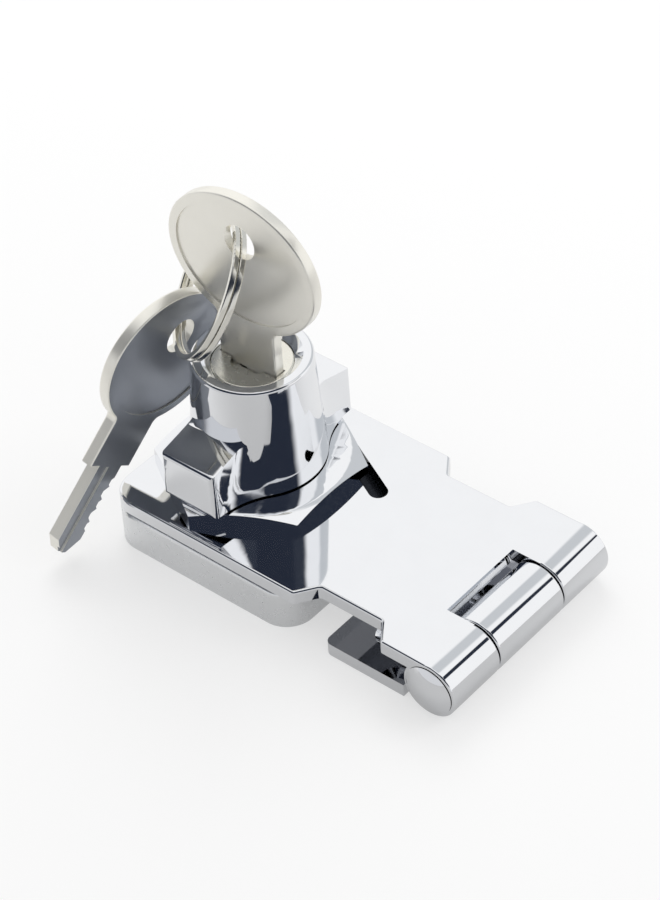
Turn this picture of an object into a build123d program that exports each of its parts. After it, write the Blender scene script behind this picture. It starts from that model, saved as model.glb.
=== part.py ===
from build123d import *

import math
import os

# A chromed hasp with a keyed turn knob, drawn closed, with its key in the lock.
# Millimetres. The origin lies on the mounting plane, under the axis of the lock.
# +X runs to the hinge, +Y along the hinge pin and +Z up, away from the door.

# Hasp plate and hinge
total_length = 63.5
plate_width = 35.6
plate_thickness = 2.15
plate_corner_radius = 4.5
plate_edge_round = 0.45
lock_from_end = 14.2
neck_from_hinge = 8.28
neck_run = 2.3
neck_depth = 3.3
neck_length = 13.3
neck_corner_radius = 0.7
barrel_radius = 4.42
middle_knuckle_length = 14.4
knuckle_gap = 0.3
knuckle_edge_round = 0.3
barrel_slot_gap = 0.36
pin_radius = 1.6
running_clearance = 0.05
pin_head_radius = 3.9
pin_head_height = 1.3
pin_head_gap = 0.1

# Mounting leaf
leaf_inset = 0.4
leaf_thickness = 2.1
strike_leaf_gap = 5.68
leaf_corner_radius = 1.2
leaf_screw_spacing = 21.0
screw_hole_radius = 1.6
screw_head_radius = 2.7

# Strike base
strike_length = 34.5
strike_height = 6.5
strike_wall = 1.7
strike_lip = 1.6
strike_edge_round = 0.9
strike_cavity_corner = 1.2
strike_mouth_corner = 0.8
cam_slot_clearance = 0.5
cam_sweep_clearance = 0.8

# Relief slot in the plate, beyond the nut
relief_width = 2.9
relief_length = 14.0
relief_end_x = 17.4
relief_end_y = 5.6
relief_heading = 153.0

# Lock body: bushing and hexagonal nut
bushing_radius = 8.3
bushing_bore_radius = 6.35
bushing_flange_radius = 9.3
bushing_flange_thickness = 1.4
bushing_flat_depth = 0.7
bushing_above_nut = 2.4
thread_clearance = 0.03
nut_across_flats = 27.4
nut_thickness = 2.5
nut_chamfer_angle = 24.0
nut_chamfer_margin = 0.5
bolt_window_clearance = 0.12

# Knob
skirt_gap = 0.3
knob_top = 29.7
hub_top_radius = 8.8
hub_base_radius = 10.0
knob_cavity_clearance = 0.35
hub_rim_radius = 7.3
hub_rim_depth = 1.2
hub_edge_round = 0.5
wing_reach = 15.3
wing_top_width = 9.5
wing_base_width = 9.9
wing_end_top = 19.0
wing_root_top = 20.7
wing_root_reach = 9.2
wing_top_flank_radius = 5.0
wing_base_flank_radius = 13.0
wing_end_round = 0.8
wafer_room = 0.2

# Turn cam under the strike's lips
cam_reach = 11.3
cam_width = 8.4
cam_thickness = 2.2
cam_corner_radius = 0.6
cam_lead_in = 0.4
cam_play = 0.1
cam_square = 6.2
cam_fit_clearance = 0.05
cam_washer_radius = 7.8
cam_washer_thickness = 0.6
cam_screw_radius = 1.5
cam_screw_length = 5.0
cam_screw_head_radius = 2.9
cam_screw_head_height = 1.3
cam_screw_recess_length = 3.4
cam_screw_recess_width = 0.7
cam_screw_recess_depth = 0.8

# Lock plug and its retaining pin
plug_radius = 4.9
plug_head_radius = 6.0
plug_head_thickness = 1.5
plug_face_round = 0.3
plug_bottom = 9.7
retaining_pin_radius = 0.5
retaining_pin_height = 12.6
retaining_groove_depth = 0.75

# Locking bolt, driven by the scroll groove under the plug
bolt_width = 4.0
bolt_thickness = 1.8
bolt_travel = 1.1
bolt_tail = 2.6
bolt_side_clearance = 0.08
bolt_pin_radius = 0.75
bolt_pin_start = 1.75
bolt_pin_length = 1.1
scroll_turn = 45.0
scroll_clearance = 0.16
scroll_depth = 1.3

# Wafers and their springs
wafer_count = 5
wafer_pitch = 1.9
wafer_top = 25.1
wafer_thickness = 0.8
wafer_width = 5.0
wafer_reach = 4.6
wafer_slot_clearance = 0.08
wafer_groove_depth = 0.9
wafer_spring_radius = 0.28
wafer_spring_wire = 0.09
wafer_spring_length = 2.2
wafer_spring_turns = 5

# Keys
key_thickness = 1.9
key_blade_width = 5.8
key_blade_length = 14.8
key_neck_width = 10.3
key_neck_radius = 1.2
key_bow_half_width = 13.2
key_bow_half_height = 11.0
key_bow_height = 18.3
key_hole_radius = 2.75
key_hole_height = 22.0
key_rim_width = 1.5
key_recess_depth = 0.25
key_edge_round = 0.3
key_groove_width = 1.3
key_groove_depth = 0.4
key_groove_offset = 0.9
key_seat_depth = 0.7
keyway_clearance = 0.1
key_tip_slant = 2.2
key_tip_flat = 0.7
key_cut_flare = 0.8
key_cut_depths = (0.5, 1.0, 0.7, 1.1, 0.6)
key_cut_width = 0.8
keyway_dish_radius = 3.1
keyway_dish_depth = 0.9
wafer_window_clearance = 0.15
wafer_tab_reach = 0.85
wafer_tab_width = 0.6

# Key ring, a flat coil of two turns
ring_wire = 0.9
ring_turn_gap = 0.06
ring_wire_round = 0.2
ring_play = 0.75
ring_step_start = 240.0
ring_step_turn = 60.0
ring_end_gap = 2.0
ring_step_sections = 6

# Where the ring and the spare key lie: the spare key's hole, the ring's axis,
# and the ways along and across the spare key
ring_axis = (0.606, 0.637, -0.471)
spare_hole = (-10.4, -4.0, 31.0)
spare_length_way = (0.169, 0.607, 0.775)
spare_width_way = (-0.086, 0.794, -0.602)

# Places that follow from the sizes above
end_x = -lock_from_end
hinge_x = total_length - barrel_radius - lock_from_end
hinge_z = barrel_radius
plate_top = 2 * barrel_radius
plate_bottom = plate_top - plate_thickness
half_width = plate_width / 2
neck_end = hinge_x - neck_from_hinge
neck_x = neck_end - neck_run - neck_length
notch_x = hinge_x - barrel_radius - barrel_slot_gap
strike_end = end_x + strike_length
leaf_x = strike_end + strike_leaf_gap
leaf_width = plate_width - 2 * leaf_inset
leaf_screw_x = (leaf_x + notch_x) / 2
mouth_half_width = bushing_flange_radius + cam_slot_clearance
mouth_half_length = cam_reach + cam_slot_clearance
strike_screw_y = (mouth_half_length + half_width) / 2
nut_top = plate_top + nut_thickness
bushing_top = nut_top + bushing_above_nut
bushing_bottom = plate_bottom - bushing_flange_thickness
knob_bottom = nut_top + skirt_gap
spindle_radius = bushing_bore_radius - running_clearance
cam_washer_top = bushing_bottom - cam_play
cam_top = cam_washer_top - cam_washer_thickness
cam_bottom = cam_top - cam_thickness
plug_face = knob_top - hub_rim_depth
bolt_top = plug_bottom - running_clearance
bolt_bottom = bolt_top - bolt_thickness
key_shoulder = plug_face - key_seat_depth
key_tip = key_shoulder - key_blade_length
retaining_pin_x = plug_radius - retaining_groove_depth + retaining_pin_radius + running_clearance
retaining_pin_reach = math.sqrt(spindle_radius ** 2 - (retaining_pin_x + retaining_pin_radius) ** 2)
wafer_heights = [wafer_top - wafer_pitch * index for index in range(wafer_count)]
key_hole = Vector(0, 0, key_shoulder + key_hole_height)


def rod(radius, low, high, x=0.0, y=0.0):
    """An upright cylinder from one height to another."""
    return Pos(x, y, (low + high) / 2) * Cylinder(radius, high - low)


def block(x_range, y_range, z_range):
    """A box given by its lowest and highest x, y and z."""
    sizes = [high - low for low, high in (x_range, y_range, z_range)]
    middle = [(high + low) / 2 for low, high in (x_range, y_range, z_range)]
    return Pos(*middle) * Box(*sizes)


def cross_rod(radius, low, high, x, z):
    """A cylinder that lies along Y, from one y to another."""
    return Pos(x, (low + high) / 2, z) * Rot(90, 0, 0) * Cylinder(radius, high - low)


def slab(outline, low, high):
    """A flat outline pulled up from one height to another."""
    return Pos(0, 0, low) * extrude(outline, high - low)


def countersunk_hole(x, y, low, high):
    """A screw hole with its cone at the top."""
    cone_height = screw_head_radius - screw_hole_radius
    cone = Pos(x, y, high - cone_height / 2) * Cone(screw_hole_radius, screw_head_radius, cone_height)
    return rod(screw_hole_radius, low - 1, high, x, y) + cone


def vertical_edges(part, x_test):
    """The edges along Z whose x passes a test."""
    return [edge for edge in part.edges().filter_by(Axis.Z) if x_test(edge.center().X)]


def edges_at_height(part, height, tolerance=0.01):
    """The edges that lie flat at one height."""
    box_of = [(edge, edge.bounding_box()) for edge in part.edges()]
    return [
        edge for edge, box in box_of
        if abs(box.min.Z - height) < tolerance and abs(box.max.Z - height) < tolerance
    ]


def plate_outline():
    """The plate from above: a rounded end, the waist and the straight hinge end."""
    waist = half_width - neck_depth
    stations = [
        (end_x, half_width),
        (neck_x, half_width),
        (neck_x + neck_run, waist),
        (neck_end - neck_run, waist),
        (neck_end, half_width),
        (hinge_x, half_width),
    ]
    points = stations + [(x, -y) for x, y in reversed(stations)]
    face = make_face(Polyline(*points, close=True))
    corners = [v for v in face.vertices() if abs(v.X - end_x) < 0.01]
    face = fillet(corners, plate_corner_radius)
    waist_corners = [v for v in face.vertices() if neck_x - 0.01 < v.X < neck_end + 0.01]
    return fillet(waist_corners, neck_corner_radius)


def bushing_section(radius, flat_depth):
    """A circle with a flat on each side, which stops the bushing turning in the plate."""
    square = Rectangle(2 * radius + 2, 2 * (radius - flat_depth))
    return Circle(radius) & square


def hinge_barrel(low, high):
    """One knuckle's cylinder along Y, its ends eased."""
    body = cross_rod(barrel_radius, low, high, hinge_x, hinge_z)
    return fillet(body.edges().filter_by(GeomType.CIRCLE), knuckle_edge_round)


def relief_slot():
    """The straight slot with round ends that crosses the plate beyond the nut."""
    outline = SlotOverall(relief_length, relief_width)
    run = relief_length / 2 - relief_width / 2
    middle_x = relief_end_x + run * math.cos(math.radians(relief_heading))
    middle_y = relief_end_y + run * math.sin(math.radians(relief_heading))
    return Pos(middle_x, middle_y, plate_bottom - 1) * extrude(
        Rot(0, 0, relief_heading) * outline, plate_thickness + 2
    )


def make_hasp_plate():
    plate = slab(plate_outline(), plate_bottom, plate_top)
    upper = [e for e in edges_at_height(plate, plate_top) if e.center().X < hinge_x - 0.01]
    plate = fillet(upper, plate_edge_round)
    middle_room = middle_knuckle_length / 2 + knuckle_gap
    plate -= block((notch_x, hinge_x + 1), (-middle_room, middle_room), (plate_bottom - 1, plate_top + 1))
    for side in (-1, 1):
        low, high = sorted((side * middle_room, side * half_width))
        plate += hinge_barrel(low, high)
    plate -= cross_rod(pin_radius + running_clearance, -half_width - 1, half_width + 1, hinge_x, hinge_z)
    lock_hole = bushing_section(bushing_radius + thread_clearance, bushing_flat_depth)
    plate -= slab(lock_hole, plate_bottom - 1, plate_top + 1)
    plate -= relief_slot()
    return plate


def make_mounting_leaf():
    leaf = block((leaf_x, hinge_x), (-leaf_width / 2, leaf_width / 2), (0, leaf_thickness))
    leaf = fillet(vertical_edges(leaf, lambda x: x < leaf_x + 0.01), leaf_corner_radius)
    half_knuckle = middle_knuckle_length / 2
    for side in (-1, 1):
        low, high = sorted((side * half_knuckle, side * (leaf_width / 2 + 1)))
        leaf -= block((notch_x, hinge_x + 1), (low, high), (-1, leaf_thickness + 1))
    leaf += hinge_barrel(-half_knuckle, half_knuckle)
    leaf -= cross_rod(pin_radius, -half_knuckle - 1, half_knuckle + 1, hinge_x, hinge_z)
    for side in (-1, 1):
        leaf -= countersunk_hole(leaf_screw_x, side * leaf_screw_spacing / 2, 0, leaf_thickness)
    return leaf


def make_hinge_pin():
    """A plain pin with a riveted dome at both ends."""
    reach = half_width + pin_head_gap
    pin = cross_rod(pin_radius, -reach, reach, hinge_x, hinge_z)
    dome_radius = (pin_head_radius ** 2 + pin_head_height ** 2) / (2 * pin_head_height)
    for side in (-1, 1):
        centre_y = side * (reach + pin_head_height - dome_radius)
        ball = Pos(hinge_x, centre_y, hinge_z) * Sphere(dome_radius)
        low, high = sorted((side * reach, side * (reach + pin_head_height + 1)))
        pin += ball & cross_rod(pin_head_radius, low, high, hinge_x, hinge_z)
    return pin


def make_strike_base():
    """The cast base: its mouth lets the cam in, and the cam turns in the hollow under its lips."""
    outline = Pos(end_x + strike_length / 2, 0) * RectangleRounded(
        strike_length, plate_width, plate_corner_radius
    )
    strike = slab(outline, 0, strike_height)
    strike = fillet(edges_at_height(strike, strike_height), strike_edge_round)
    cavity = Pos(end_x + strike_length / 2, 0) * RectangleRounded(
        strike_length - 2 * strike_wall,
        2 * (cam_reach + cam_sweep_clearance),
        strike_cavity_corner,
    )
    lip_bottom = strike_height - strike_lip
    strike -= slab(cavity, -1, lip_bottom)
    mouth = RectangleRounded(2 * mouth_half_width, 2 * mouth_half_length, strike_mouth_corner)
    strike -= slab(mouth, lip_bottom - 1, strike_height + 1)
    for side in (-1, 1):
        strike -= countersunk_hole(0, side * strike_screw_y, 0, strike_height)
    return strike


def make_lock_bushing():
    """A flanged sleeve, clamped in the plate, with four pockets for the bolt."""
    bushing = rod(bushing_flange_radius, bushing_bottom, plate_bottom)
    flatted = bushing_section(bushing_radius, bushing_flat_depth)
    bushing += slab(flatted, plate_bottom, plate_top)
    bushing += rod(bushing_radius, plate_top, bushing_top)
    bushing -= rod(bushing_bore_radius, bushing_bottom - 1, bushing_top + 1)
    reach = bushing_bore_radius - bolt_side_clearance + bolt_travel
    half = bolt_width / 2 + bolt_window_clearance
    low = bolt_bottom - bolt_window_clearance
    high = bolt_top + bolt_window_clearance
    for turn in (0, 90):
        bushing -= Rot(0, 0, turn) * block((-reach, reach), (-half, half), (low, high))
    return bushing


def make_hex_nut():
    corner_radius = nut_across_flats / 2 / math.cos(math.radians(30))
    outline = RegularPolygon(corner_radius, 6, rotation=30)
    nut = slab(outline, plate_top, nut_top)
    flat_radius = nut_across_flats / 2 - nut_chamfer_margin
    cone_drop = (corner_radius + 1 - flat_radius) * math.tan(math.radians(nut_chamfer_angle))
    cone = Pos(0, 0, nut_top - cone_drop / 2) * Cone(corner_radius + 1, flat_radius, cone_drop)
    nut &= cone + rod(corner_radius + 1, plate_top, nut_top - cone_drop)
    return nut - rod(bushing_radius + thread_clearance, plate_top - 1, nut_top + 1)


def wing_plan(tip_width, hub_radius, flank_radius):
    """The knob from above: the round body with its two wings, blended in hollows."""
    wings = Rectangle(tip_width, 2 * wing_reach)
    plan = Circle(hub_radius) + wings
    inner = [v for v in plan.vertices() if abs(v.Y) < wing_reach - 1]
    return fillet(inner, flank_radius)


def knob_wings():
    """Both wings: straight into the hub at the foot, waisted at the top, with sloping tops."""
    top = Pos(0, 0, wing_root_top) * wing_plan(wing_top_width, hub_top_radius, wing_top_flank_radius)
    base = Pos(0, 0, knob_bottom) * wing_plan(wing_base_width, hub_base_radius, wing_base_flank_radius)
    body = loft([base, top], ruled=True)
    side = Polyline(
        (-wing_reach - 1, knob_bottom - 1),
        (-wing_reach - 1, wing_end_top),
        (-wing_root_reach, wing_root_top),
        (wing_root_reach, wing_root_top),
        (wing_reach + 1, wing_end_top),
        (wing_reach + 1, knob_bottom - 1),
        close=True,
    )
    profile = extrude(Plane.YZ * make_face(side), wing_reach, both=True)
    body &= profile
    ends = [edge for edge in body.edges() if abs(abs(edge.center().Y) - wing_reach) < 0.01]
    return fillet(ends, wing_end_round)


def knob_hub():
    """The round body, a little wider at the skirt."""
    return Pos(0, 0, (knob_bottom + knob_top) / 2) * Cone(
        hub_base_radius, hub_top_radius, knob_top - knob_bottom
    )


def make_knob():
    knob = knob_hub() + knob_wings()
    knob = fillet(edges_at_height(knob, knob_top), hub_edge_round)
    rim = Pos(0, 0, knob_top - hub_rim_depth / 2) * Cone(
        plug_head_radius + running_clearance, hub_rim_radius, hub_rim_depth
    )
    knob -= rim
    knob -= rod(plug_head_radius + running_clearance, plug_face - plug_head_thickness, plug_face + 0.01)
    cavity_radius = bushing_radius + knob_cavity_clearance
    knob -= rod(cavity_radius, knob_bottom - 1, bushing_top + skirt_gap)
    knob += rod(spindle_radius, cam_top, bushing_top + skirt_gap + 0.01)
    square = Rectangle(cam_square, cam_square)
    knob += slab(square, cam_bottom, cam_top)
    knob -= rod(plug_radius + running_clearance, plug_bottom - running_clearance, plug_face + 1)
    groove_reach = plug_radius + wafer_groove_depth
    groove_half = wafer_width / 2 + wafer_room
    stack_low = wafer_top - wafer_count * wafer_pitch
    stack_high = wafer_top + wafer_thickness / 2 + wafer_room
    knob -= block((-groove_reach, groove_reach), (-groove_half, groove_half), (stack_low, stack_high))
    channel_half = bolt_width / 2 + bolt_side_clearance
    knob -= block(
        (-spindle_radius - 1, bolt_tail + bolt_side_clearance),
        (-channel_half, channel_half),
        (bolt_bottom - bolt_side_clearance, plug_bottom),
    )
    knob -= rod(cam_screw_radius, cam_bottom - 1, cam_bottom + cam_screw_length)
    knob -= cross_rod(retaining_pin_radius, -hub_base_radius, hub_base_radius, retaining_pin_x, retaining_pin_height)
    return knob


def make_turn_cam():
    """A bar with ends turned to its own circle, so that it sweeps clear of the strike's walls."""
    outline = Rectangle(cam_width, 2 * cam_reach) & Circle(cam_reach)
    outline = fillet(outline.vertices(), cam_corner_radius)
    hole = Rectangle(cam_square + 2 * cam_fit_clearance, cam_square + 2 * cam_fit_clearance)
    cam = slab(outline - hole, cam_bottom, cam_top)
    upper_face = cam.faces().sort_by(Axis.Z)[-1]
    return chamfer(upper_face.outer_wire().edges(), cam_lead_in)


def make_cam_washer():
    washer = rod(cam_washer_radius, cam_top, cam_washer_top)
    return washer - rod(spindle_radius + running_clearance, cam_top - 1, cam_washer_top + 1)


def make_cam_screw():
    shank = rod(cam_screw_radius, cam_bottom, cam_bottom + cam_screw_length)
    head_bottom = cam_bottom - cam_screw_head_height
    screw = shank + rod(cam_screw_head_radius, head_bottom, cam_bottom)
    long = cam_screw_recess_length / 2
    short = cam_screw_recess_width / 2
    depth = (head_bottom - 1, head_bottom + cam_screw_recess_depth)
    return screw - block((-long, long), (-short, short), depth) - block((-short, short), (-long, long), depth)


def keyway(low, high):
    """The slot that the blade slides in, with a rib on each side for its grooves."""
    half_width_x = key_blade_width / 2 + keyway_clearance
    half_thickness = key_thickness / 2 + keyway_clearance
    slot = block((-half_width_x, half_width_x), (-half_thickness, half_thickness), (low, high))
    rib_half = key_groove_width / 2 - keyway_clearance
    for side in (-1, 1):
        x = side * key_groove_offset
        low_y, high_y = sorted((side * (half_thickness - key_groove_depth), side * (half_thickness + 1)))
        slot -= block((x - rib_half, x + rib_half), (low_y, high_y), (low, high))
    return slot


def scroll_outline():
    """The curved groove that draws the bolt's pin outward as the plug turns.

    Its middle line is a spiral, so that equal turns of the plug move the bolt
    by equal steps. The angle is counted in the plug, from the bolt's own way.
    """
    half = bolt_pin_radius + scroll_clearance
    steps = 8

    def place(angle, offset):
        radius = bolt_pin_start + bolt_travel * angle / scroll_turn + offset
        way = math.radians(180 + angle)
        return (radius * math.cos(way), radius * math.sin(way))

    angles = [scroll_turn * index / steps for index in range(steps + 1)]
    inner = [place(angle, -half) for angle in angles]
    outer = [place(angle, half) for angle in angles]
    edges = [Spline(*inner), Line(inner[-1], outer[-1]), Spline(*reversed(outer)), Line(outer[0], inner[0])]
    groove = make_face(Wire(edges))
    for angle in (0, scroll_turn):
        groove += Pos(*place(angle, 0)) * Circle(half)
    return groove


def wafer_slot(height):
    """The cross slot of one wafer, with the pocket of its spring."""
    half = wafer_width / 2 + wafer_slot_clearance
    low = height - wafer_thickness / 2 - wafer_slot_clearance
    high = height + wafer_thickness / 2 + wafer_slot_clearance
    slot = block((-plug_radius - 1, plug_radius + 1), (-half, half), (low, high))
    tab_y = wafer_width / 2 + wafer_tab_reach + wafer_slot_clearance
    reach = wafer_spring_length / 2 + wafer_tab_width + wafer_slot_clearance
    return slot + block((-wafer_spring_length / 2 - wafer_slot_clearance, reach), (0, tab_y), (low, high))


def make_lock_plug():
    plug = rod(plug_radius, plug_bottom, plug_face)
    plug += rod(plug_head_radius, plug_face - plug_head_thickness, plug_face)
    plug = fillet(edges_at_height(plug, plug_face), plug_face_round)
    plug -= keyway(key_tip - keyway_clearance, plug_face + 1)
    seat_x = key_neck_width / 2 + keyway_clearance
    seat_y = key_thickness / 2 + keyway_clearance
    plug -= block((-seat_x, seat_x), (-seat_y, seat_y), (key_shoulder, plug_face + 1))
    plug -= rod(keyway_dish_radius, plug_face - keyway_dish_depth, plug_face + 1)
    groove_half = retaining_pin_radius + running_clearance
    groove_low = retaining_pin_height - groove_half
    groove_high = retaining_pin_height + groove_half
    ring = rod(plug_radius + 1, groove_low, groove_high)
    plug -= ring - rod(plug_radius - retaining_groove_depth, groove_low - 1, groove_high + 1)
    for height in wafer_heights:
        plug -= wafer_slot(height)
    return plug - slab(scroll_outline(), plug_bottom - 1, plug_bottom + scroll_depth)


def make_retaining_pin():
    return cross_rod(
        retaining_pin_radius, -retaining_pin_reach, retaining_pin_reach, retaining_pin_x, retaining_pin_height
    )


def make_locking_bolt():
    """A flat bolt, its nose turned to the spindle's curve, with the pin that rides in the scroll."""
    nose = spindle_radius - bolt_side_clearance
    half = bolt_width / 2
    bolt = block((-nose, bolt_tail), (-half, half), (bolt_bottom, bolt_top))
    bolt &= rod(nose, bolt_bottom - 1, bolt_top + 1)
    return bolt + rod(bolt_pin_radius, bolt_top, bolt_top + bolt_pin_length, -bolt_pin_start)


def make_wafer(height, cut_depth):
    """One sprung plate of the lock: its window is taller by the cut it stands in."""
    low = height - wafer_thickness / 2
    high = height + wafer_thickness / 2
    half = wafer_width / 2
    wafer = block((-plug_radius, plug_radius), (-half, half), (low, high))
    wafer &= rod(plug_radius - running_clearance, low - 1, high + 1)
    tab_low = wafer_spring_length / 2
    wafer += block((tab_low, tab_low + wafer_tab_width), (0, half + wafer_tab_reach), (low, high))
    window_x = key_blade_width / 2 + wafer_window_clearance
    window_y = key_thickness / 2 + wafer_window_clearance
    return wafer - block((-window_x, window_x + cut_depth), (-window_y, window_y), (low - 1, high + 1))


def make_wafer_spring(height):
    """A coil beside the wafer, which pushes on the wafer's tab."""
    pitch = (wafer_spring_length - 2 * wafer_spring_wire) / wafer_spring_turns
    path = Helix(pitch, wafer_spring_length - 2 * wafer_spring_wire, wafer_spring_radius)
    start = Plane(origin=path @ 0, z_dir=path % 0)
    coil = sweep(start * Circle(wafer_spring_wire), path=path)
    y = wafer_width / 2 + wafer_slot_clearance + wafer_spring_radius + wafer_spring_wire
    return Pos(-wafer_spring_length / 2 + wafer_spring_wire, y, height) * Rot(0, 90, 0) * coil


def key_blade():
    """The blade from its broad side, with its pointed tip and its cuts on one edge."""
    half = key_blade_width / 2
    tip = -key_blade_length
    blade = make_face(Polyline(
        (-half, key_neck_radius),
        (-half, tip + key_tip_slant),
        (-key_tip_flat, tip),
        (key_tip_flat, tip),
        (half, tip + key_tip_slant),
        (half, key_neck_radius),
        close=True,
    ))
    for height, depth in zip(wafer_heights, key_cut_depths):
        level = height - key_shoulder
        blade -= make_face(Polyline(
            (half - depth, level - key_cut_width / 2),
            (half - depth, level + key_cut_width / 2),
            (half + 1, level + key_cut_width / 2 + (depth + 1) * key_cut_flare),
            (half + 1, level - key_cut_width / 2 - (depth + 1) * key_cut_flare),
            close=True,
        ))
    return blade


def make_key():
    """A key that stands on its shoulder at the origin, its broad faces towards -Y and +Y."""
    half = key_thickness / 2
    bow = Pos(0, key_bow_height) * Ellipse(key_bow_half_width, key_bow_half_height)
    neck = Pos(0, key_bow_height / 2) * Rectangle(key_neck_width, key_bow_height)
    head = bow + neck
    inner = [v for v in head.vertices() if 0.01 < v.Y < key_bow_height]
    head = fillet(inner, key_neck_radius)
    key = extrude(Plane.XZ * head, half, both=True)
    broad = [face for face in key.faces() if abs(abs(face.center().Y) - half) < 0.01]
    key = fillet([edge for face in broad for edge in face.outer_wire().edges()], key_edge_round)
    key += extrude(Plane.XZ * key_blade(), half, both=True)
    recess = Pos(0, key_bow_height) * Ellipse(
        key_bow_half_width - key_rim_width, key_bow_half_height - key_rim_width
    )
    low = -key_blade_length - 1
    for side in (-1, 1):
        floor = Plane.XZ.offset(-side * (half - key_recess_depth))
        key -= extrude(floor * recess, -side * 1)
        x = side * key_groove_offset
        low_y, high_y = sorted((side * (half - key_groove_depth), side * (half + 1)))
        key -= block((x - key_groove_width / 2, x + key_groove_width / 2), (low_y, high_y), (low, 0))
    return key - cross_rod(key_hole_radius, -half - 1, half + 1, 0, key_hole_height)


def ring_plane():
    """The plane of the key ring, which passes through the holes of both keys."""
    chord = key_hole - Vector(*spare_hole)
    along = chord.normalized()
    tilt = Vector(*ring_axis)
    normal = (tilt - along * tilt.dot(along)).normalized()
    return Plane(origin=(key_hole + Vector(*spare_hole)) / 2, x_dir=along, z_dir=normal)


def make_key_ring():
    """A split ring of two flat turns, joined by a short step at the back."""
    radius = (key_hole - Vector(*spare_hole)).length / 2 - ring_play
    rise = (ring_wire + ring_turn_gap) / 2
    wire = Plane.XZ * Pos(radius, 0) * RectangleRounded(ring_wire, ring_wire, ring_wire_round)
    turn = revolve(wire, Axis.Z, 360 - ring_step_turn - ring_end_gap)
    step_end = ring_step_start + ring_step_turn
    first = Rot(0, 0, step_end + ring_end_gap) * Pos(0, 0, -rise) * turn
    second = Rot(0, 0, step_end) * Pos(0, 0, rise) * turn
    sections = []
    for index in range(ring_step_sections + 1):
        share = index / ring_step_sections
        height = rise * (2 * share * share * (3 - 2 * share) - 1)
        angle = ring_step_start + ring_step_turn * share
        sections.append(Rot(0, 0, angle) * Pos(0, 0, height) * wire)
    step = loft(sections, ruled=True)
    return ring_plane().location * (first + step + second)


def spare_key_location():
    """Where the spare key hangs, its hole on the ring."""
    along = Vector(*spare_length_way).normalized()
    shoulder = Vector(*spare_hole) - along * key_hole_height
    return Plane(origin=shoulder, x_dir=spare_width_way, z_dir=along).location


parts = {
    "hasp_plate": make_hasp_plate(),
    "mounting_leaf": make_mounting_leaf(),
    "hinge_pin": make_hinge_pin(),
    "strike_base": make_strike_base(),
    "lock_bushing": make_lock_bushing(),
    "hex_nut": make_hex_nut(),
    "knob": make_knob(),
    "turn_cam": make_turn_cam(),
    "cam_washer": make_cam_washer(),
    "cam_screw": make_cam_screw(),
    "lock_plug": make_lock_plug(),
    "retaining_pin": make_retaining_pin(),
    "locking_bolt": make_locking_bolt(),
    "key": Pos(0, 0, key_shoulder) * make_key(),
    "spare_key": spare_key_location() * make_key(),
    "key_ring": make_key_ring(),
}
for index, (height, depth) in enumerate(zip(wafer_heights, key_cut_depths), start=1):
    parts[f"wafer_{index}"] = make_wafer(height, depth)
    parts[f"wafer_spring_{index}"] = make_wafer_spring(height)

os.makedirs("parts", exist_ok=True)
for name, shape in parts.items():
    export_step(shape, f"parts/{name}.step")
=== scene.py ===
import math

import bmesh
import bpy
from bpy.props import FloatProperty, FloatVectorProperty, PointerProperty
from bpy.types import Operator, Panel, PropertyGroup
from mathutils import Matrix, Vector

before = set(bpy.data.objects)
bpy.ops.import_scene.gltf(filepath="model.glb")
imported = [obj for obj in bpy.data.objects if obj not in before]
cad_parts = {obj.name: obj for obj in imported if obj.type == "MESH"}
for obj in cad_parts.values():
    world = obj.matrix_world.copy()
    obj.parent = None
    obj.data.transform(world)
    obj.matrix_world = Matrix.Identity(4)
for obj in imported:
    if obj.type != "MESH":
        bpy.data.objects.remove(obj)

bl_info = {
    "name": "Keyed hasp latch",
    "version": (1, 0, 0),
    "blender": (4, 5, 0),
    "location": "View3D > Sidebar > Latch",
    "description": "Dresses a chromed hasp with its turn knob, lock and keys",
    "category": "Add Mesh",
}

MM = 0.001
WHITE = (1, 1, 1, 1)

# Which CAD pieces take which finish
CHROME_NODES = ("hasp_plate", "hex_nut", "knob", "hinge_pin")
LEAF_NODES = ("mounting_leaf",)
SATIN_NODES = ("strike_base",)
STEEL_NODES = (
    "lock_bushing", "turn_cam", "cam_washer", "cam_screw", "retaining_pin", "locking_bolt",
)
PLUG_NODES = ("lock_plug",)
KEY_NODES = ("key",)
SPARE_NODES = ("spare_key",)
RING_NODES = ("key_ring",)
SPRING_NODES = tuple(sorted(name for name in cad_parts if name.startswith("wafer_spring_")))
WAFER_NODES = tuple(sorted(
    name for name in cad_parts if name.startswith("wafer_") and name not in SPRING_NODES
))

# Patterns per metre of the faint clouds in a plating's colour and in its polish, and their detail
CLOUD_SCALE = 220.0
CLOUD_DETAIL = 3.0
POLISH_SCALE = 900.0
POLISH_DETAIL = 4.0
GRAIN_DETAIL = 2.0
# The part of a noise pattern's range that its values mostly fill
NOISE_RANGE = (0.3, 0.7)
# Long waves and fine grains: patterns per metre, and height
CHROME_WAVES = (60.0, 0.001 * MM)
KEY_GRAIN = (4000.0, 0.0008 * MM)
STEEL_GRAIN = (3000.0, 0.001 * MM)
# How much the polish varies over a piece, as a share of its roughness
CHROME_UNEVENNESS = 0.3
SATIN_UNEVENNESS = 0.1
KEY_UNEVENNESS = 0.08
RING_UNEVENNESS = 0.3
STEEL_UNEVENNESS = 0.15
# How much darker the clouds in a plating are
CHROME_CLOUD = 0.015
KEY_CLOUD = 0.02
PLAIN_CLOUD = 0.03
# Worn nickel mirrors less than new plating
KEY_METALLIC = 0.8
SPARE_METALLIC = 0.65
# Roughness of the ring and of the lock's pieces
RING_ROUGHNESS = 0.14
PLUG_ROUGHNESS = 0.26
STEEL_ROUGHNESS = 0.32
BRASS_ROUGHNESS = 0.30
WIRE_ROUGHNESS = 0.25

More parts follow.
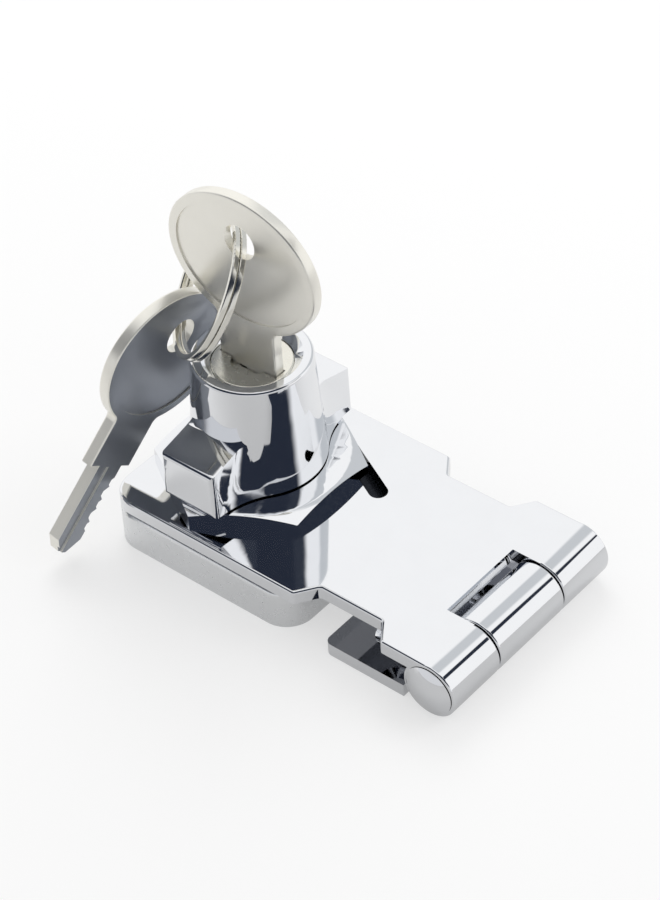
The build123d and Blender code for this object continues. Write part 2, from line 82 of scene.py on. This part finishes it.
# The slanted slot in the plate: its middle, its turn, and the room in it where shade is painted
SLOT_CENTRE = (12.455 * MM, 8.12 * MM)
SLOT_TURN = math.radians(153.0)
SLOT_HALF_LENGTH = 7.2 * MM
SLOT_HALF_WIDTH = 1.65 * MM
SLOT_SIDE_FADE = 0.1 * MM
SLOT_FLOOR = 5.6 * MM
SLOT_TOP = 8.75 * MM
SLOT_DEPTH_FADE = 0.15 * MM
# Painted shade: the near black laid on the slot's walls and on the strike's top under it
SLOT_SHADE_COLOUR = (0.02, 0.022, 0.028, 1)

# Where the painted dark reflections lie on the leaf and on the spare key
# A face counts as looking one way between these cosines of the angle to it
FACING_RANGE = (0.90, 0.98)
UPWARDS = (0, 0, 1)
# Below this level the mounting leaf is flat
LEAF_LEVEL = 2.6 * MM
# A level above the whole latch
ANY_LEVEL = 1.0

# Panels round the latch that only mirrors see, each laid over those before it:
# colour, then soft edges in azimuth and in elevation, in degrees
MIRRORED_PANELS = (
    ((0.62, 0.64, 0.66, 1), (64, 76, 112, 122), (3, 12, 64, 78)),
    ((0.70, 0.71, 0.73, 1), (-190, -170, -10, 10), (-10, -4, 70, 86)),
    ((0.022, 0.028, 0.045, 1), (-156, -146, 8, 22), (14, 24, 62, 75)),
    ((0.035, 0.042, 0.06, 1), (0, 8, 24, 36), (40, 48, 62, 75)),
    ((0.022, 0.028, 0.045, 1), (24, 28, 52, 55), (36.2, 37.6, 44.5, 46.0)),
)

FLOOR_HALF_WIDTH = 3.0
# How the floor looks in a mirror: its tone behind the latch and in front of it, how far in front
# of the latch's middle it changes from the one to the other, and how much of it no shadow reaches
FLOOR_TONES = (0.84, 0.60)
FLOOR_REACH = (-10 * MM, 48 * MM)
FLOOR_HAZE = 0.4

# The lamps stand behind the latch: side of the square, place and the point that it faces, in metres
KEY_LAMP = (0.35, (-0.28, 0.31, 0.44), (0, 0, 0.01))
FILL_LAMP = (0.30, (0.34, 0.30, 0.36), (0.01, 0, 0.01))

# The picture in pixels, the camera's sensor in millimetres and how near and far it sees in metres
PICTURE_WIDTH = 660
PICTURE_HEIGHT = 900
SENSOR = 24.0
NEAREST = 0.01
FARTHEST = 20.0


class LatchFinish(PropertyGroup):
    """Colours and polish of the plated pieces, with the colours of two painted dark reflections."""

    chrome_colour: FloatVectorProperty(
        name="Chrome", description="Colour of the bright plating", subtype="COLOR",
        default=(0.88, 0.89, 0.91), size=3, min=0, max=1,
    )
    chrome_roughness: FloatProperty(
        name="Chrome roughness", description="How much the bright plating blurs what it mirrors",
        default=0.045, min=0, max=1,
    )
    # Painted dark reflection of the plate's shaded underside on the leaf's flat top
    leaf_reflection_colour: FloatVectorProperty(
        name="Leaf top", description="Colour of the mounting leaf's dull, painted_reflection top", subtype="COLOR",
        default=(0.34, 0.35, 0.38), size=3, min=0, max=1,
    )
    satin_colour: FloatVectorProperty(
        name="Satin plating", description="Colour of the strike base's dull plating", subtype="COLOR",
        default=(0.90, 0.91, 0.92), size=3, min=0, max=1,
    )
    satin_roughness: FloatProperty(
        name="Satin roughness", description="How dull the strike base is",
        default=0.26, min=0, max=1,
    )
    nickel_colour: FloatVectorProperty(
        name="Nickel", description="Colour of the keys' warm nickel plating", subtype="COLOR",
        default=(0.92, 0.90, 0.83), size=3, min=0, max=1,
    )
    nickel_roughness: FloatProperty(
        name="Nickel roughness", description="How dull the keys are",
        default=0.3, min=0, max=1,
    )
    # Painted dark reflection on the spare key's flat face
    spare_reflection_colour: FloatVectorProperty(
        name="Spare key face", description="Colour of the dull face of the spare key", subtype="COLOR",
        default=(0.30, 0.32, 0.36), size=3, min=0, max=1,
    )
    ring_colour: FloatVectorProperty(
        name="Key ring", description="Colour of the split ring's nickel", subtype="COLOR",
        default=(0.88, 0.86, 0.79), size=3, min=0, max=1,
    )
    plug_colour: FloatVectorProperty(
        name="Plug", description="Colour of the lock plug's nickel", subtype="COLOR",
        default=(0.88, 0.86, 0.78), size=3, min=0, max=1,
    )
    steel_colour: FloatVectorProperty(
        name="Zinc-plated steel", description="Colour of the hidden steel pieces", subtype="COLOR",
        default=(0.62, 0.64, 0.66), size=3, min=0, max=1,
    )
    brass_colour: FloatVectorProperty(
        name="Brass", description="Colour of the lock's wafers", subtype="COLOR",
        default=(0.78, 0.60, 0.32), size=3, min=0, max=1,
    )
    wire_colour: FloatVectorProperty(
        name="Spring wire", description="Colour of the springs under the wafers", subtype="COLOR",
        default=(0.55, 0.56, 0.58), size=3, min=0, max=1,
    )


class LatchEdges(PropertyGroup):
    """How the facets of the CAD pieces are joined, and which of their edges stay sharp."""

    split_angle: FloatProperty(
        name="Sharp edge angle", description="Edges that turn by more than this stay sharp",
        default=math.radians(28), subtype="ANGLE",
    )
    weld_distance: FloatProperty(
        name="Weld distance", description="Corners of facets closer than this are joined",
        default=0.002 * MM, subtype="DISTANCE", precision=6,
    )


class LatchStage(PropertyGroup):
    """The camera, the lamps and the floor."""

    azimuth: FloatProperty(
        name="Camera azimuth", description="Way from the latch to the camera, from +X towards +Y",
        default=math.radians(-48.0), subtype="ANGLE",
    )
    elevation: FloatProperty(
        name="Camera elevation", description="How far the camera looks down",
        default=math.radians(41.47), subtype="ANGLE",
    )
    roll: FloatProperty(
        name="Camera roll", description="Turn of the camera about its own line of sight",
        default=math.radians(-3.58), subtype="ANGLE",
    )
    depth: FloatProperty(
        name="Camera depth", description="Depth of the sighted point before the camera",
        default=429.52 * MM, subtype="DISTANCE",
    )
    sight_x: FloatProperty(
        name="Sighted point", description="Place along the latch of the point that the camera is set by",
        default=17.8 * MM, subtype="DISTANCE",
    )
    sight_height: FloatProperty(
        name="Sighted height", description="Height of that point",
        default=5.0 * MM, subtype="DISTANCE",
    )
    column: FloatProperty(
        name="Picture column", description="Where that point lies across the picture, in pixels",
        default=356.8,
    )
    row: FloatProperty(
        name="Picture row", description="Where that point lies down the picture, in pixels",
        default=533.49,
    )
    focal_pixels: FloatProperty(
        name="Focal length", description="Focal length in picture pixels",
        default=3000.0,
    )
    key_power: FloatProperty(
        name="Key lamp", description="Power of the lamp behind the lock",
        default=1.1, unit="POWER",
    )
    fill_power: FloatProperty(
        name="Fill lamp", description="Power of the lamp behind the hinge",
        default=0.5, unit="POWER",
    )
    sky_light: FloatProperty(
        name="Sky light", description="Strength of the even light from all round",
        default=0.75,
    )
    floor_glow: FloatProperty(
        name="Floor glow", description="How much the floor shows white of itself",
        default=0.55,
    )
    floor_colour: FloatVectorProperty(
        name="Floor", description="Colour of the floor", subtype="COLOR",
        default=(0.92, 0.92, 0.92), size=3, min=0, max=1,
    )


class LatchSettings(PropertyGroup):
    """All the latch's settings."""

    finish: PointerProperty(type=LatchFinish)
    edges: PointerProperty(type=LatchEdges)
    stage: PointerProperty(type=LatchStage)


def settings():
    """The latch's settings in this scene."""
    return bpy.context.scene.latch


def rgba(colour, factor=1.0):
    """A colour made lighter or darker, with full cover."""
    return tuple(channel * factor for channel in colour) + (1.0,)


def feed(tree, value, socket):
    """Links a node's output to a socket, or sets the socket to a plain number or colour."""
    if isinstance(value, bpy.types.NodeSocket):
        tree.links.new(value, socket)
    else:
        socket.default_value = value


def coordinates(tree, kind):
    """Where a spot is on its piece, or which way it looks."""
    return tree.nodes.new("ShaderNodeTexCoord").outputs[kind]


def split_axes(tree, vector):
    """The X, Y and Z of a place or way."""
    node = tree.nodes.new("ShaderNodeSeparateXYZ")
    tree.links.new(vector, node.inputs["Vector"])
    return node.outputs["X"], node.outputs["Y"], node.outputs["Z"]


def maths(tree, operation, first, second=None):
    """One sum over one or two values, of which the second may be a plain number."""
    node = tree.nodes.new("ShaderNodeMath")
    node.operation = operation
    tree.links.new(first, node.inputs[0])
    if second is not None:
        feed(tree, second, node.inputs[1])
    return node.outputs["Value"]


def carry(tree, value, before, after, shape="LINEAR"):
    """A value carried over from one range to another."""
    node = tree.nodes.new("ShaderNodeMapRange")
    node.interpolation_type = shape
    for socket, number in zip(("From Min", "From Max", "To Min", "To Max"), (*before, *after)):
        node.inputs[socket].default_value = number
    tree.links.new(value, node.inputs["Value"])
    return node.outputs["Result"]


def ease(tree, value, low, high):
    """A soft step that rises from 0 to 1 between two values."""
    return carry(tree, value, (low, high), (0.0, 1.0), "SMOOTHSTEP")


def window(tree, value, edges):
    """1 between two soft edges and 0 outside them: start and end of the rise, then of the fall."""
    rise = ease(tree, value, edges[0], edges[1])
    fall = ease(tree, value, edges[2], edges[3])
    return maths(tree, "SUBTRACT", rise, fall)


def between(tree, value, low, high, fade):
    """1 while a length lies between two others, fading at both ends."""
    return window(tree, value, (low, low + fade, high - fade, high))


def blend_colours(tree, share, first, second):
    """One colour that turns into another where the share goes from 0 to 1."""
    node = tree.nodes.new("ShaderNodeMix")
    node.data_type = "RGBA"
    feed(tree, share, node.inputs["Factor"])
    feed(tree, first, node.inputs["A"])
    feed(tree, second, node.inputs["B"])
    return node.outputs["Result"]


def blend_shaders(tree, share, first, second):
    """One shader that turns into another where the share goes from 0 to 1."""
    node = tree.nodes.new("ShaderNodeMixShader")
    feed(tree, share, node.inputs["Fac"])
    tree.links.new(first, node.inputs[1])
    tree.links.new(second, node.inputs[2])
    return node.outputs["Shader"]


def noise(tree, scale, detail):
    """A noise pattern that stays put on the piece."""
    pattern = tree.nodes.new("ShaderNodeTexNoise")
    pattern.inputs["Scale"].default_value = scale
    pattern.inputs["Detail"].default_value = detail
    tree.links.new(coordinates(tree, "Object"), pattern.inputs["Vector"])
    return pattern.outputs["Fac"]


def bump(tree, shader, value, height):
    """Raises a pattern on the surface by a small height."""
    node = tree.nodes.new("ShaderNodeBump")
    node.inputs["Strength"].default_value = 1.0
    node.inputs["Distance"].default_value = height
    tree.links.new(value, node.inputs["Height"])
    tree.links.new(node.outputs["Normal"], shader.inputs["Normal"])


def new_material(name):
    """An empty material with its output."""
    material = bpy.data.materials.new(name)
    material.use_nodes = True
    tree = material.node_tree
    tree.nodes.clear()
    return material, tree, tree.nodes.new("ShaderNodeOutputMaterial")


def plated_metal(name, colour, roughness, unevenness, grain=None, cloud=PLAIN_CLOUD, metallic=1.0):
    """Plated metal: faint clouds in its colour and polish, and a fine grain where it has one."""
    material, tree, output = new_material(name)
    shader = tree.nodes.new("ShaderNodeBsdfPrincipled")
    tree.links.new(shader.outputs["BSDF"], output.inputs["Surface"])
    shader.inputs["Metallic"].default_value = metallic
    clouds = carry(tree, noise(tree, CLOUD_SCALE, CLOUD_DETAIL), NOISE_RANGE, (0.0, 1.0))
    tint = blend_colours(tree, clouds, rgba(colour, 1.0 - cloud), rgba(colour))
    tree.links.new(tint, shader.inputs["Base Color"])
    polish = carry(
        tree, noise(tree, POLISH_SCALE, POLISH_DETAIL), NOISE_RANGE,
        (roughness * (1 - unevenness), roughness * (1 + unevenness)),
    )
    tree.links.new(polish, shader.inputs["Roughness"])
    if grain:
        scale, height = grain
        bump(tree, shader, noise(tree, scale, GRAIN_DETAIL), height)
    return material, tree, shader, tint


def paint_shade_in_slot(tree, shader, tint):
    """Paints shade inside the plate's slanted slot: darkens what lies in it, the slot's walls and the
    strike's top below.
    """
    turn = tree.nodes.new("ShaderNodeMapping")
    turn.vector_type = "TEXTURE"
    turn.inputs["Location"].default_value = (*SLOT_CENTRE, 0)
    turn.inputs["Rotation"].default_value = (0, 0, SLOT_TURN)
    tree.links.new(coordinates(tree, "Object"), turn.inputs["Vector"])
    x, y, z = split_axes(tree, turn.outputs["Vector"])
    along = between(tree, x, -SLOT_HALF_LENGTH, SLOT_HALF_LENGTH, SLOT_SIDE_FADE)
    across = between(tree, y, -SLOT_HALF_WIDTH, SLOT_HALF_WIDTH, SLOT_SIDE_FADE)
    depth = between(tree, z, SLOT_FLOOR, SLOT_TOP, SLOT_DEPTH_FADE)
    inside = maths(tree, "MULTIPLY", maths(tree, "MULTIPLY", along, across), depth)
    tree.links.new(blend_colours(tree, inside, tint, SLOT_SHADE_COLOUR), shader.inputs["Base Color"])


def paint_dark_reflection(tree, shader, tint, way, colour, level=ANY_LEVEL):
    """Paints a dark reflection on what looks one way and lies below a level, and leaves edges and other
    faces bright.
    """
    facing = tree.nodes.new("ShaderNodeVectorMath")
    facing.operation = "DOT_PRODUCT"
    facing.inputs[1].default_value = way
    tree.links.new(coordinates(tree, "Normal"), facing.inputs[0])
    height = split_axes(tree, coordinates(tree, "Object"))[2]
    low = maths(tree, "LESS_THAN", height, level)
    share = maths(tree, "MULTIPLY", ease(tree, facing.outputs["Value"], *FACING_RANGE), low)
    tree.links.new(blend_colours(tree, share, tint, rgba(colour)), shader.inputs["Base Color"])


def flat_face_way(name):
    """The way that a key's flat face on the hinge side looks."""
    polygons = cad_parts[name].data.polygons
    way = max(polygons, key=lambda face: face.area).normal.copy()
    return way if way.x > 0 else -way


def dress(names, material):
    """Gives CAD pieces a finish and smooth shading between their sharp edges."""
    edges = settings().edges
    for name in names:
        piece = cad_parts[name]
        piece.data.materials.clear()
        piece.data.materials.append(material)
        piece.data.polygons.foreach_set("use_smooth", [True] * len(piece.data.polygons))
        weld = piece.modifiers.new("Weld", "WELD")
        weld.merge_threshold = edges.weld_distance
        split = piece.modifiers.new("Sharp edges", "EDGE_SPLIT")
        split.split_angle = edges.split_angle
        even = piece.modifiers.new("Even shading", "WEIGHTED_NORMAL")
        even.keep_sharp = True


class LATCH_OT_plating(Operator):
    """Gives the chromed and satin pieces their plating, with painted shade in the plate's slot and a
    painted dark reflection on the leaf's top.
    """

    bl_idname = "latch.plating"
    bl_label = "Chrome and satin plating"

    def execute(self, context):
        finish = settings().finish
        bright = (
            finish.chrome_colour, finish.chrome_roughness, CHROME_UNEVENNESS, CHROME_WAVES, CHROME_CLOUD,
        )
        chrome, tree, shader, tint = plated_metal("bright_chrome", *bright)
        # Painted shade inside the plate's slot
        paint_shade_in_slot(tree, shader, tint)
        dress(CHROME_NODES, chrome)
        leaf, tree, shader, tint = plated_metal("leaf_chrome", *bright)
        # Painted dark reflection on the leaf's flat top
        paint_dark_reflection(tree, shader, tint, UPWARDS, finish.leaf_reflection_colour, LEAF_LEVEL)
        dress(LEAF_NODES, leaf)
        satin, tree, shader, tint = plated_metal(
            "satin_chrome", finish.satin_colour, finish.satin_roughness, SATIN_UNEVENNESS,
        )
        # Painted shade on the strike's top under the slot
        paint_shade_in_slot(tree, shader, tint)
        dress(SATIN_NODES, satin)
        return {"FINISHED"}


class LATCH_OT_keys(Operator):
    """Gives the two keys and their ring worn nickel, with a painted dark reflection on the spare key's
    flat face.
    """

    bl_idname = "latch.keys"
    bl_label = "Keys and ring"

    def execute(self, context):
        finish = settings().finish
        worn = (
            finish.nickel_colour, finish.nickel_roughness, KEY_UNEVENNESS, KEY_GRAIN, KEY_CLOUD,
        )
        dress(KEY_NODES, plated_metal("key_nickel", *worn, KEY_METALLIC)[0])
        spare, tree, shader, tint = plated_metal("spare_nickel", *worn, SPARE_METALLIC)
        # Painted dark reflection on the spare key's flat face
        paint_dark_reflection(tree, shader, tint, flat_face_way(SPARE_NODES[0]), finish.spare_reflection_colour)
        dress(SPARE_NODES, spare)
        ring = plated_metal("ring_nickel", finish.ring_colour, RING_ROUGHNESS, RING_UNEVENNESS)[0]
        dress(RING_NODES, ring)
        return {"FINISHED"}


class LATCH_OT_lock_metal(Operator):
    """Gives the plug and the hidden lock pieces their metals."""

    bl_idname = "latch.lock_metal"
    bl_label = "Plug and lock pieces"

    def execute(self, context):
        finish = settings().finish
        for name, pieces, colour, roughness in (
            ("plug_nickel", PLUG_NODES, finish.plug_colour, PLUG_ROUGHNESS),
            ("zinc_steel", STEEL_NODES, finish.steel_colour, STEEL_ROUGHNESS),
            ("wafer_brass", WAFER_NODES, finish.brass_colour, BRASS_ROUGHNESS),
            ("spring_wire", SPRING_NODES, finish.wire_colour, WIRE_ROUGHNESS),
        ):
            dress(pieces, plated_metal(name, colour, roughness, STEEL_UNEVENNESS, STEEL_GRAIN)[0])
        return {"FINISHED"}


def camera_ways(stage):
    """The camera's right, up and forward ways, from its azimuth, elevation and roll."""
    back = Vector((
        math.cos(stage.elevation) * math.cos(stage.azimuth),
        math.cos(stage.elevation) * math.sin(stage.azimuth),
        math.sin(stage.elevation),
    ))
    forward = -back
    right = forward.cross(Vector(UPWARDS)).normalized()
    up = right.cross(forward)
    turned_right = math.cos(stage.roll) * right + math.sin(stage.roll) * up
    turned_up = math.cos(stage.roll) * up - math.sin(stage.roll) * right
    return turned_right, turned_up, forward


def make_camera(stage):
    """The camera stands where the sighted point falls on its row and column of the picture."""
    right, up, forward = camera_ways(stage)
    sight = Vector((stage.sight_x, 0, stage.sight_height))
    across = (stage.column - PICTURE_WIDTH / 2) / stage.focal_pixels
    down = (stage.row - PICTURE_HEIGHT / 2) / stage.focal_pixels
    place = sight - stage.depth * (forward + across * right - down * up)
    data = bpy.data.cameras.new("camera")
    data.sensor_width = SENSOR
    data.lens = stage.focal_pixels / PICTURE_HEIGHT * SENSOR
    data.clip_start = NEAREST
    data.clip_end = FARTHEST
    camera = bpy.data.objects.new("camera", data)
    bpy.context.scene.collection.objects.link(camera)
    turn = Matrix((right, up, -forward)).transposed()
    camera.matrix_world = Matrix.Translation(place) @ turn.to_4x4()
    bpy.context.scene.camera = camera


def make_lamp(name, power, size, place, target):
    """A square soft lamp that faces a point and that mirrors don't show."""
    data = bpy.data.lights.new(name, "AREA")
    data.shape = "SQUARE"
    data.size = size
    data.energy = power
    lamp = bpy.data.objects.new(name, data)
    bpy.context.scene.collection.objects.link(lamp)
    way = (Vector(target) - Vector(place)).normalized()
    lamp.location = place
    lamp.rotation_mode = "QUATERNION"
    lamp.rotation_quaternion = way.to_track_quat("-Z", "Y")
    lamp.visible_glossy = False


def background(tree, colour, strength=1.0):
    """A surround of one colour or pattern."""
    node = tree.nodes.new("ShaderNodeBackground")
    feed(tree, colour, node.inputs["Color"])
    node.inputs["Strength"].default_value = strength
    return node.outputs["Background"]


def mirrored_colour(tree):
    """What polished metal sees of the surround: white, with the soft panels laid over it."""
    x, y, z = split_axes(tree, coordinates(tree, "Generated"))
    azimuth = maths(tree, "ARCTAN2", y, x)
    elevation = maths(tree, "ARCSINE", z)
    colour = WHITE
    for tone, sides, heights in MIRRORED_PANELS:
        across = window(tree, azimuth, [math.radians(angle) for angle in sides])
        upright = window(tree, elevation, [math.radians(angle) for angle in heights])
        colour = blend_colours(tree, maths(tree, "MULTIPLY", across, upright), colour, tone)
    return colour


def make_world(stage):
    """A white surround that gives even light, with darker panels that only mirrors see."""
    world = bpy.data.worlds.new("studio")
    bpy.context.scene.world = world
    world.use_nodes = True
    tree = world.node_tree
    tree.nodes.clear()
    output = tree.nodes.new("ShaderNodeOutputWorld")
    path = tree.nodes.new("ShaderNodeLightPath")
    plain = background(tree, WHITE, stage.sky_light)
    mirrored = background(tree, mirrored_colour(tree))
    unseen = blend_shaders(tree, path.outputs["Is Glossy Ray"], plain, mirrored)
    seen = blend_shaders(tree, path.outputs["Is Camera Ray"], unseen, background(tree, WHITE))
    tree.links.new(seen, output.inputs["Surface"])


def matt(tree, colour):
    """A matt surface of one colour or pattern, which takes shadows."""
    node = tree.nodes.new("ShaderNodeBsdfDiffuse")
    feed(tree, colour, node.inputs["Color"])
    return node.outputs["BSDF"]


def glow(tree, strength):
    """A white surface that shows of itself and takes no shadow."""
    node = tree.nodes.new("ShaderNodeEmission")
    node.inputs["Color"].default_value = WHITE
    feed(tree, strength, node.inputs["Strength"])
    return node.outputs["Emission"]


def pale_floor(stage):
    """The floor's finish: pale with soft shadows, and in mirrors a little darker in front."""
    material, tree, output = new_material("pale_floor")
    path = tree.nodes.new("ShaderNodeLightPath")
    share = maths(tree, "MULTIPLY", path.outputs["Is Camera Ray"], stage.floor_glow)
    seen = blend_shaders(tree, share, matt(tree, rgba(stage.floor_colour)), glow(tree, 1.0))
    x, y, _ = split_axes(tree, coordinates(tree, "Object"))
    # X less Y grows by the square root of 2 for each metre towards the front
    reach = [length * math.sqrt(2) for length in FLOOR_REACH]
    tone = carry(tree, maths(tree, "SUBTRACT", x, y), reach, FLOOR_TONES, "SMOOTHSTEP")
    mirrored = blend_shaders(tree, FLOOR_HAZE, matt(tree, tone), glow(tree, tone))
    whole = blend_shaders(tree, path.outputs["Is Glossy Ray"], seen, mirrored)
    tree.links.new(whole, output.inputs["Surface"])
    return material


def make_floor(stage):
    """A wide pale floor under the latch."""
    mesh = bpy.data.meshes.new("floor")
    work = bmesh.new()
    bmesh.ops.create_grid(work, x_segments=1, y_segments=1, size=FLOOR_HALF_WIDTH)
    work.to_mesh(mesh)
    work.free()
    floor = bpy.data.objects.new("floor", mesh)
    bpy.context.scene.collection.objects.link(floor)
    floor.data.materials.append(pale_floor(stage))


class LATCH_OT_stage(Operator):
    """Makes the floor, the surround, the lamps and the camera."""

    bl_idname = "latch.stage"
    bl_label = "Studio"

    def execute(self, context):
        stage = settings().stage
        bpy.context.scene.view_settings.view_transform = "Standard"
        make_floor(stage)
        make_world(stage)
        make_lamp("key_lamp", stage.key_power, *KEY_LAMP)
        make_lamp("fill_lamp", stage.fill_power, *FILL_LAMP)
        make_camera(stage)
        return {"FINISHED"}


class LATCH_PT_panel(Panel):
    """The latch's panel in the sidebar."""

    bl_idname = "LATCH_PT_panel"
    bl_label = "Latch"
    bl_space_type = "VIEW_3D"
    bl_region_type = "UI"
    bl_category = "Latch"

    def draw(self, context):
        for operator in OPERATORS:
            self.layout.operator(operator.bl_idname)


OPERATORS = (LATCH_OT_plating, LATCH_OT_keys, LATCH_OT_lock_metal, LATCH_OT_stage)
CLASSES = (LatchFinish, LatchEdges, LatchStage, LatchSettings) + OPERATORS + (LATCH_PT_panel,)


def register():
    """Adds the latch's settings, operators and panel to Blender."""
    for cls in CLASSES:
        bpy.utils.register_class(cls)
    bpy.types.Scene.latch = PointerProperty(type=LatchSettings)


def unregister():
    """Takes the latch's settings, operators and panel out of Blender."""
    del bpy.types.Scene.latch
    for cls in reversed(CLASSES):
        bpy.utils.unregister_class(cls)


def main():
    """Makes the dressed latch in order."""
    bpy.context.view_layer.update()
    register()
    bpy.ops.latch.plating()
    bpy.ops.latch.keys()
    bpy.ops.latch.lock_metal()
    bpy.ops.latch.stage()


if __name__ == "__main__":
    main()
